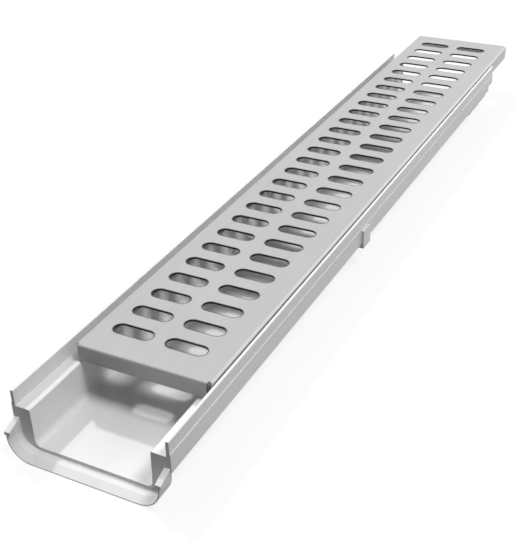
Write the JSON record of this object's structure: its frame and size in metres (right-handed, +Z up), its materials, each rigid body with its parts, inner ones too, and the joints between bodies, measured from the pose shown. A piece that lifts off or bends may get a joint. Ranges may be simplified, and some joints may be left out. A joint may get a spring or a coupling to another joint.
{
  "type": "channel drain",
  "caption": "Shallow white plastic drainage channel with a collar at one end and a spigot at the other, and a slotted stainless steel cover grate resting on its ledges.",
  "frame": {"origin": "bottom centre of the whole: middle of the underside, midway between the collar's mouth and the grate's far end", "axes": "+X along the channel from the collar end to the spigot end, +Y to the left seen from the collar end, +Z up"},
  "size_m": [0.658, 0.1036, 0.0405],
  "materials": {
    "white_plastic": "satin gloss, moulded",
    "stainless": "fine brushed"
  },
  "bodies": {
    "root": {"channel_body": "white_plastic", "grate": "stainless"}
  },
  "joints": []
}
